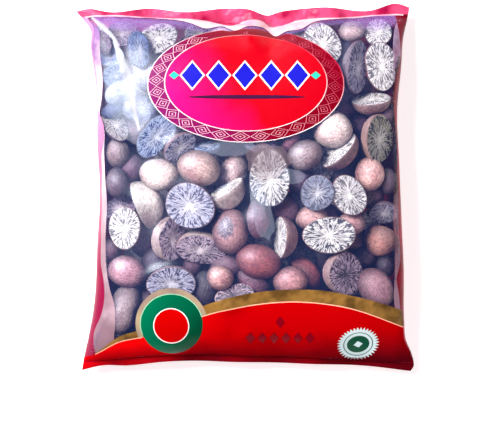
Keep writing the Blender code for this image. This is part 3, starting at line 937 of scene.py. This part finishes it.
# Under the weld the film's own folds lie close together and shine violet, less and less down to the nuts.
# The violet is painted glare: three layers of tinted film, each one reaching lower than the one before.
GLARE_EDGE = ((-95.6, 93), (-84, 90), (-70, 89), (-50, 91), (-30, 89), (0, 86), (30, 88), (50, 93), (70, 92),
             (84, 90), (95.6, 93))


def tinted_film(name, hex_colour, roughness, alpha):
    """Film with so faint a tint that what lies under it shows through."""
    return new_material(name, {"Base Color": hex_colour, "Roughness": roughness, "Alpha": alpha})[0]


violet_glare_material = tinted_film("violet_painted_glare", "A878D8", 0.3, 0.2)
for layer, lower_by in enumerate((-2.0, 0.0, 2.5)):
    under_weld(f"violet_glare_layer_{layer}", smooth(GLARE_EDGE, across * HALF_WIDTH) - lower_by * MM, fold_edge,
               0.93, 1 + 0.4 * layer, violet_glare_material)


# A long crease from the top left corner down beside the label, where the film was folded sharply. Its white
# is partly the film's own whitening at the fold and partly painted glare along it. Each point of it: x, y and
# half its width in mm. Narrower layers lie on wider ones, so the eye sees a white line with milky edges. Each
# layer: its share of the width, and how many layers up it lies.
CREASE_LINE = ((-87.0, 96.4, 0.3), (-80, 90.3, 1.9), (-75, 85.2, 1.5), (-72.3, 82, 1.1), (-70, 75, 1.7),
               (-66.5, 67, 2.8), (-64.3, 60, 3.4), (-63.2, 54, 3.2), (-61.5, 46, 2.2), (-60, 38, 1.3),
               (-58, 31, 0.5))
CREASE_LAYERS = ((1.0, 1.2), (0.7, 1.6), (0.45, 2.0), (0.2, 2.4))
white_film = tinted_film("whitened_film_and_painted_glare", "E8EEFA", 0.35, 0.2)
crease_x, crease_y, crease_half = np.array(CREASE_LINE).T
down = np.linspace(0, 1, 121)
knot = np.linspace(0, 1, len(CREASE_LINE))
for layer, (wider, lift) in enumerate(CREASE_LAYERS):
    path_x, path_y, half = (np.interp(down, knot, row) for row in (crease_x, crease_y, crease_half))
    ragged = 1 + 0.12 * np.sin(23 * down) + 0.1 * np.sin(61 * down + 1)
    slope_x, slope_y = np.gradient(path_x), np.gradient(path_y)
    length = np.hypot(slope_x, slope_y)
    aside = np.linspace(-1, 1, 5)[:, None] * half * wider * ragged
    x = (path_x - aside * slope_y / length) * MM
    y = (path_y + aside * slope_x / length) * MM
    printed(f"white_crease_{layer}", x, y, lift, white_film)


def once_round(count, shares_out):
    """A grid of bearings, once round in so many steps, and of shares of the way out."""
    return np.meshgrid(np.arange(count) / count * 2 * np.pi, shares_out)


def turned(centre, u, v, degrees):
    """Places in metres, from places u, v in mm that are turned by some degrees about a centre in mm."""
    cos, sin = np.cos(np.radians(degrees)), np.sin(np.radians(degrees))
    return (centre[0] + u * cos - v * sin) * MM, (centre[1] + u * sin + v * cos) * MM


# Pale film laid over the nuts is painted glare, the white sheen of the light: beside the crease, and more
# weakly over the middle of the window. Over the head of the tall half a duller grey film is painted shade.
# Each patch: its middle and its radii in mm, and how many degrees it is turned.
GLARE_PATCHES = ((-67, 49, 14, 24, 18), (-68, 51, 10, 20, 18), (-68, 53, 8, 13, 18), (9, -13, 5.5, 17, 14),
                 (7, -9, 3.5, 10, 14), (-7, 22, 13, 5, 8), (26, 6, 7, 4, -10))
# Grey film over the head of the tall half: painted shade.
SHADE_PATCHES = ((12.5, 14, 12, 10, 0), (12, 15.5, 9, 7.5, 0))
FROM_SIDE = 5.5 * MM
PINHOLE = 0.001
# Pale film laid over the nuts: painted glare.
milky_film = tinted_film("milky_painted_glare_film", "CCDEF8", 0.35, 0.11)
painted_shade_film = tinted_film("grey_painted_shade_film", "8E7A86", 0.35, 0.26)
patches = [(patch, milky_film) for patch in GLARE_PATCHES] + [(patch, painted_shade_film) for patch in SHADE_PATCHES]
for layer, ((middle_x, middle_y, half_x, half_y, degrees), patch_film) in enumerate(patches):
    t, share = once_round(120, np.linspace(1.0, PINHOLE, 25))
    waver = 1 + 0.07 * np.sin(3 * t + layer) + 0.05 * np.sin(7 * t + 2 * layer)
    u, v = half_x * share * waver * np.cos(t), half_y * share * waver * np.sin(t)
    x, y = turned((middle_x, middle_y), u, v, degrees)
    x = np.maximum(x, smooth(LEFT_SIDE, y) + FROM_SIDE)
    printed(f"painted_light_patch_{layer}", x, y, 0.9 + 0.04 * layer, patch_film, closed=True)


# The foot, printed red up to an arched line with a thin cream edge, and the gold band above it, in ink under
# the film. The red is brighter at the left, painted light where the key lamp falls, and darkens towards the
# bottom; the gold is crinkled and dull. Heights in mm at some x. The foot stops just short of the sides,
# where it settles in a few rounds.
RED_TOP = ((-95.6, -97), (-83.6, -93.2), (-70.7, -86.4), (-57.9, -83.3), (-11, -67.9), (30.5, -63.3),
           (44.4, -64.5), (55.5, -66.4), (87, -77.5), (95.6, -81))
GOLD_TOP = ((-95.6, -96), (-83.6, -92.6), (-70.7, -83.4), (-57.6, -79), (-22.1, -65.1), (-11, -61.6),
            (30.5, -56.4), (44.4, -57.2), (55.5, -59.2), (87.5, -68.6), (95.6, -72))
CREAM_WIDTH = 0.55 * MM
SETTLING_ROUNDS, FOOT_REACH = 3, 0.998
red_ink, tree, shader = new_material("red_ink_on_film", {"Roughness": 0.25, "Specular IOR Level": 0.0})
# Brighter red at the left: painted light.
painted_light_red = blend(tree, "B20004", "F60408", (1.0, 0.0), -0.01, -0.06)
foot_colour = blend(tree, painted_light_red, "5C0410", (-0.06, 1.0), -0.0825, -0.0985, 0.02, 38, detail=2.0)
fill(tree, shader, {"Base Color": foot_colour})
gold_ink = ink("gold_ink_on_film", "8A6632", 0.32, "5A401E", 9, crumpled=0.6, deep_mm=4.0)
cream_ink = ink("cream_ink_on_film", "FFB59A", 0.3)
across, share = grid((-1, 1, 181), (0, 1, 61))
bottom = smooth(BOTTOM_EDGE, across * HALF_WIDTH)
x = across * HALF_WIDTH
for _ in range(SETTLING_ROUNDS):
    y = bottom + share * (smooth(RED_TOP, x) - bottom)
    x = between_sides(across * FOOT_REACH, y)
printed("red_foot", x, y, 2, red_ink)
x, share = grid((-83.6 * MM, 88.4 * MM, 161), (0, 1, 9))
red_top = smooth(RED_TOP, x)
printed("gold_band", x, red_top + share * (smooth(GOLD_TOP, x) - red_top), 2, gold_ink)
x, share = grid((-84 * MM, 88.6 * MM, 161), (-0.5, 0.5, 3))
printed("cream_line", x, smooth(RED_TOP, x) + share * CREAM_WIDTH, 3, cream_ink)


# The roundel at the left of the foot: a pale gold rim over its upper part, a green ring and a red disc, all
# in glossy ink under the film. Middles and radii in mm, bearings in degrees.
ROUNDEL, GREEN_RADII, GOLD_RADII = (-40.6, -75.8), (17.3, 16.9), (20.0, 20.2)
DISC, WHITE_RADII, RED_RADII = (-40.8, -76.7), (10.0, 10.0), (9.5, 9.5)
CLOUD_DRIFT = 0.03


def oval(centre, radii, inner, outer, rings, around, degrees=0.0, arc=(0, 360)):
    """A ring between two shares of an ellipse's radii, turned by some degrees, whole or over an arc."""
    start, stop = np.radians(arc)
    bearings = np.linspace(start, stop, around, endpoint=arc[1] - arc[0] < 360)
    t, share = np.meshgrid(bearings, np.linspace(outer, inner, rings + 1))
    return turned(centre, radii[0] * share * np.cos(t), radii[1] * share * np.sin(t), degrees)


def print_oval(name, layers, material, *shape, arc=(0, 360)):
    """Prints an oval of the shape that oval takes, closed where it goes all the way round."""
    printed(name, *oval(*shape, arc=arc), layers, material, closed=arc[1] - arc[0] == 360)


def slanted_ink(name, slant, low, high, first, last, roughness=0.28):
    """Ink that runs from one colour to another along a slant, with a clouded border."""
    material, tree, shader = new_material(name, {"Roughness": roughness, "Specular IOR Level": PRINT_GLOSS})
    colour = blend(tree, first, last, slant, low, high, CLOUD_DRIFT, 31)
    fill(tree, shader, {"Base Color": colour})
    crumple(tree, shader, 9, 0.25, 1.0)
    return material


# Darker green towards the lower right of the ring: painted shade.
green_ink = slanted_ink("green_ink_on_film", (1.0, -0.5), -0.016, 0.014, "006A4A", "00442C", 0.22)
white_ink = ink("white_ink_on_film", "F4F2F0", 0.3)
pale_gold_ink = ink("pale_gold_ink", "A8967A", 0.3, "84706A", 17)
print_oval("roundel_gold_rim", 3, pale_gold_ink, ROUNDEL, GOLD_RADII, 0.8, 1.0, 4, 80, arc=(14, 205))
print_oval("roundel_green_ring", 4, green_ink, ROUNDEL, GREEN_RADII, 0.5, 1.0, 8, 120)
mint_ink = ink("mint_ink", "8FCFAE", 0.3)
print_oval("roundel_mint_line", 5, mint_ink, ROUNDEL, GREEN_RADII, 0.985, 1.012, 1, 96, arc=(15, 200))
print_oval("roundel_white_line", 5, white_ink, DISC, WHITE_RADII, 0.945, 1.0, 2, 96)
print_oval("roundel_red_disc", 5, ink("red_disc_ink", "BE0000", 0.22), DISC, RED_RADII, PINHOLE, 1.0, 8, 96)


# The seal at the right of the foot: a pale disc with a toothed edge, and a plain dark green oval in it, in
# the same kind of ink. Its middle and radii in mm, its turn in degrees.
SEAL_MARK, SEAL_RADII, SEAL_TURN = (63.0, -87.2), (11.9, 9.6), 10
TEETH, TOOTH_DEPTH = 36, 0.18
pale_ink = ink("pale_seal_ink", "C6DCE0", 0.3)
t, share = once_round(TEETH * 4, np.linspace(1.0, PINHOLE, 7))
tooth = 1 - TOOTH_DEPTH * np.abs((t * TEETH / (2 * np.pi)) % 1 * 2 - 1) * share**4
u, v = SEAL_RADII[0] * share * tooth * np.cos(t), SEAL_RADII[1] * share * tooth * np.sin(t)
x, y = turned(SEAL_MARK, u, v, SEAL_TURN)
printed("seal_toothed_disc", x, y, 3, pale_ink, closed=True)
dark_green_ink = ink("dark_green_ink", "0F4A35", 0.3)
print_oval("seal_green_oval", 4, dark_green_ink, SEAL_MARK, (6.3, 4.8), PINHOLE, 1.0, 5, 48, SEAL_TURN)
print_oval("seal_pale_lozenge", 5, pale_ink, SEAL_MARK, (2.6, 1.9), PINHOLE, 1.0, 3, 4, SEAL_TURN)
print_oval("seal_green_line", 4, dark_green_ink, SEAL_MARK, SEAL_RADII, 0.66, 0.7, 1, 64, SEAL_TURN)


# The oval label printed over the window: a magenta to red field, and round it a band of nested squares
# between two white lines, a common border. The eye sees glossy ink, magenta at the left and red at the right,
# and a darker band. Middles and radii in mm; squares in shares of the band.
LABEL, LABEL_RADII = (0.5, 56.6), (54.0, 32.0)
FIELD, FIELD_RADII = (0.5, 57.6), (44.7, 26.9)
AROUND = 220
WHITE_LINE_HALF = 0.028
HEAD_SOFTNESS = 1.0 * MM
SQUARES, SQUARE_SIZES, FIRST_SQUARE, LINE_HALF = 28, (0.95, 0.5, 0.09), -0.27, 0.035


def under_fold(x, y):
    """Draws the label's head in under the pale fold: heights near its edge crowd up softly below it."""
    edge = smooth(FOLD_EDGE, x)
    return edge - HEAD_SOFTNESS * np.logaddexp(0, (edge - y) / HEAD_SOFTNESS)


def on_band(t, share):
    """A place on the label's band, at an angle and a share of the way in from its outer to its inner oval."""
    outer_x, outer_y = LABEL[0] + LABEL_RADII[0] * np.cos(t), LABEL[1] + LABEL_RADII[1] * np.sin(t)
    inner_x, inner_y = FIELD[0] + FIELD_RADII[0] * np.cos(t), FIELD[1] + FIELD_RADII[1] * np.sin(t)
    return (outer_x + share * (inner_x - outer_x)) * MM, (outer_y + share * (inner_y - outer_y)) * MM


label_ink = slanted_ink("magenta_to_red_ink", (1.0, 0.6), -0.03, 0.034, "D60C8E", "B80016")
ring_ink = slanted_ink("label_band_ink", (1.0, 0.5), -0.035, 0.03, "7E1268", "760018")
line_ink = slanted_ink("pale_band_line_ink", (1.0, 0.6), 0.0, 0.085, "FFD8EC", "B82C4A")
outline_ink = slanted_ink("label_outline_ink", (0.5, 1.0), 0.055, 0.092, "F0E4EA", "C42444")
x, y = oval(FIELD, FIELD_RADII, PINHOLE, 1.0, 44, AROUND)
printed("label_field", x, under_fold(x, y), 3, label_ink, closed=True)
white_lines = [[at - WHITE_LINE_HALF, at + WHITE_LINE_HALF] for at in (0.0, 1.0)]
for name, shares_in, lift, band_ink in (("label_band", np.linspace(0, 1, 9), 3, ring_ink),
                                        ("label_outer_line", white_lines[0], 4, outline_ink),
                                        ("label_inner_line", white_lines[1], 4, outline_ink)):
    x, y = on_band(*once_round(AROUND, shares_in))
    printed(name, x, under_fold(x, y), lift, band_ink, closed=True)
# Each square stands on its corner, six points to a side, and is a thin line between two edges.
corner = np.linspace(0, 4, 4 * 6 + 1)[:-1]
unit_s = np.interp(corner, [0, 1, 2, 3, 4], [0.5, 0, -0.5, 0, 0.5])
unit_t = np.interp(corner, [0, 1, 2, 3, 4], [0, 0.5, 0, -0.5, 0])
edges = np.array([(cell, size + half) for cell in range(SQUARES) for size in SQUARE_SIZES
                  for half in (LINE_HALF, -LINE_HALF)])
cell, edge = edges[:, :1], edges[:, 1:]
x, y = on_band((FIRST_SQUARE + cell + unit_s * edge) * 2 * np.pi / SQUARES, 0.5 + unit_t * edge)
x, y = x[:, ::-1], under_fold(x, y)[:, ::-1]
z = front_film(x, y) + 4 * PRINT_LIFT
sheet("label_band_squares", x, y, z, line_ink, closed=True, in_pairs=True)


# In the field a row of plain lozenges, blue with a white edge, between two small sea green ones, and a dark
# tapered line under them. On the foot stands a small dark red row of the same lozenges. All are ink under the
# film, in places and sizes in mm.
DARK_LINE_Y, DARK_LINE_HALF, DARK_LINE_REACH = 49.5 * MM, 1.1 * MM, 32.2 * MM
BLUE_ROW = [(x, 61.5) for x in np.linspace(-29, 29, 5)]
FOOT_ROW = [(x, -83.5) for x in np.linspace(3, 36, 6)] + [(19.5, -74.5)]


def lozenge_row(name, places, half_width, half_height, lift, material):
    """Lozenges at places in mm, of one size in mm, in one ink: each a square grid stood on its corner."""
    across, up = grid((-1, 1, 17), (-1, 1, 17))
    for k, (centre_x, centre_y) in enumerate(places):
        x = centre_x * MM + (across + up) / 2 * half_width * MM
        y = centre_y * MM + (up - across) / 2 * half_height * MM
        printed(f"{name}_{k}", x, y, lift, material)


lozenge_row("lozenge_edge", BLUE_ROW, 7.0, 8.4, 4, white_ink)
lozenge_row("blue_lozenge", BLUE_ROW, 5.9, 7.1, 5, ink("blue_ink_on_film", "1616B4", 0.3))
lozenge_row("sea_green_lozenge", [(-39, 61.5), (39, 61.5)], 2.8, 2.2, 4, ink("sea_green_ink", "2AC0A8", 0.3))
x, share = grid((-31 * MM, 33 * MM, 65), (-1, 1, 5))
taper = np.sqrt(np.clip(1 - ((x - MM) / DARK_LINE_REACH) ** 2, 0.001, 1))
y = DARK_LINE_Y + share * DARK_LINE_HALF * taper
printed("label_dark_line", x, y, 4, ink("plum_black_ink", "3A0E38", 0.3))
lozenge_row("foot_lozenge", FOOT_ROW, 2.6, 3.4, 4, ink("dark_red_ink", "7A0012", 0.3))


# The table, the light and the camera. A plain pale table that glows faintly, so that the bag's shadow stays
# pale; a key light at the upper left and a weak fill; two window glares at the upper left and one beyond the
# head that only show as shine on the film; and the camera straight above, as the bag was looked at.
TABLE_HALF, TABLE_Z = 4, -0.1 * MM
CAMERA_AT, CAMERA_LENS = (2.8 * MM, -13.2 * MM, 1.25), 158.1
table_mesh = bpy.data.meshes.new("table")
corners = [(x * TABLE_HALF, y * TABLE_HALF, TABLE_Z) for x, y in ((-1, -1), (1, -1), (1, 1), (-1, 1))]
table_mesh.from_pydata(corners, [], [(0, 1, 2, 3)])
table = put_in("table", table_mesh)
table_material, tree, shader = new_material("pale_table", {
    "Base Color": "F4F4F4", "Roughness": 0.9, "Emission Color": "FFFFFF", "Emission Strength": 0.6})
table_material.cycles.emission_sampling = "NONE"
table_mesh.materials.append(table_material)


def lamp(name, at, towards, size, watts, hex_colour, mirrored=True, lights=True):
    """A round area light at a place, turned to face another, that shows in gloss, lights things, or both."""
    data = bpy.data.lights.new(name, "AREA")
    data.shape = "DISK"
    data.size = size
    data.energy = watts
    data.color = linear(hex_colour)[:3]
    light = put_in(name, data)
    light.location = at
    facing = np.array(towards) - np.array(at)
    light.rotation_euler = (np.arctan2(np.hypot(facing[0], facing[1]), -facing[2]), 0,
                            np.arctan2(facing[1], facing[0]) - np.pi / 2)
    light.visible_glossy = mirrored
    light.visible_diffuse = lights


lamp("key_light", (-0.72, 0.50, 1.10), (0, 0, 0.02), 0.6, 42, "FFF8F2", mirrored=False)
lamp("fill_light", (0.9, -0.6, 0.9), (0, 0, 0), 0.9, 8, "FFF0E8", mirrored=False)
lamp("near_window_glare", (-0.50, 0.40, 0.44), (-0.07, 0.05, 0.04), 0.6, 28, "EEF2FF", lights=False)
lamp("far_window_glare", (-0.60, 0.60, 0.90), (-0.06, 0.06, 0.04), 0.9, 38, "EEF2FF", lights=False)
lamp("rear_glare", (-0.25, 1.3, 0.3), (0, 0.09, 0.02), 0.7, 8, "E6E0FF", lights=False)
world = bpy.data.worlds.new("studio")
bpy.context.scene.world = world
world.use_nodes = True
fill(world.node_tree, world.node_tree.nodes["Background"], {"Color": "C4C8E6", "Strength": 0.2})

camera_data = bpy.data.cameras.new("camera")
camera_data.sensor_width = 36
camera_data.lens = CAMERA_LENS
camera = put_in("camera", camera_data)
camera.location = CAMERA_AT
bpy.context.scene.camera = camera
bpy.context.scene.view_settings.view_transform = "Standard"
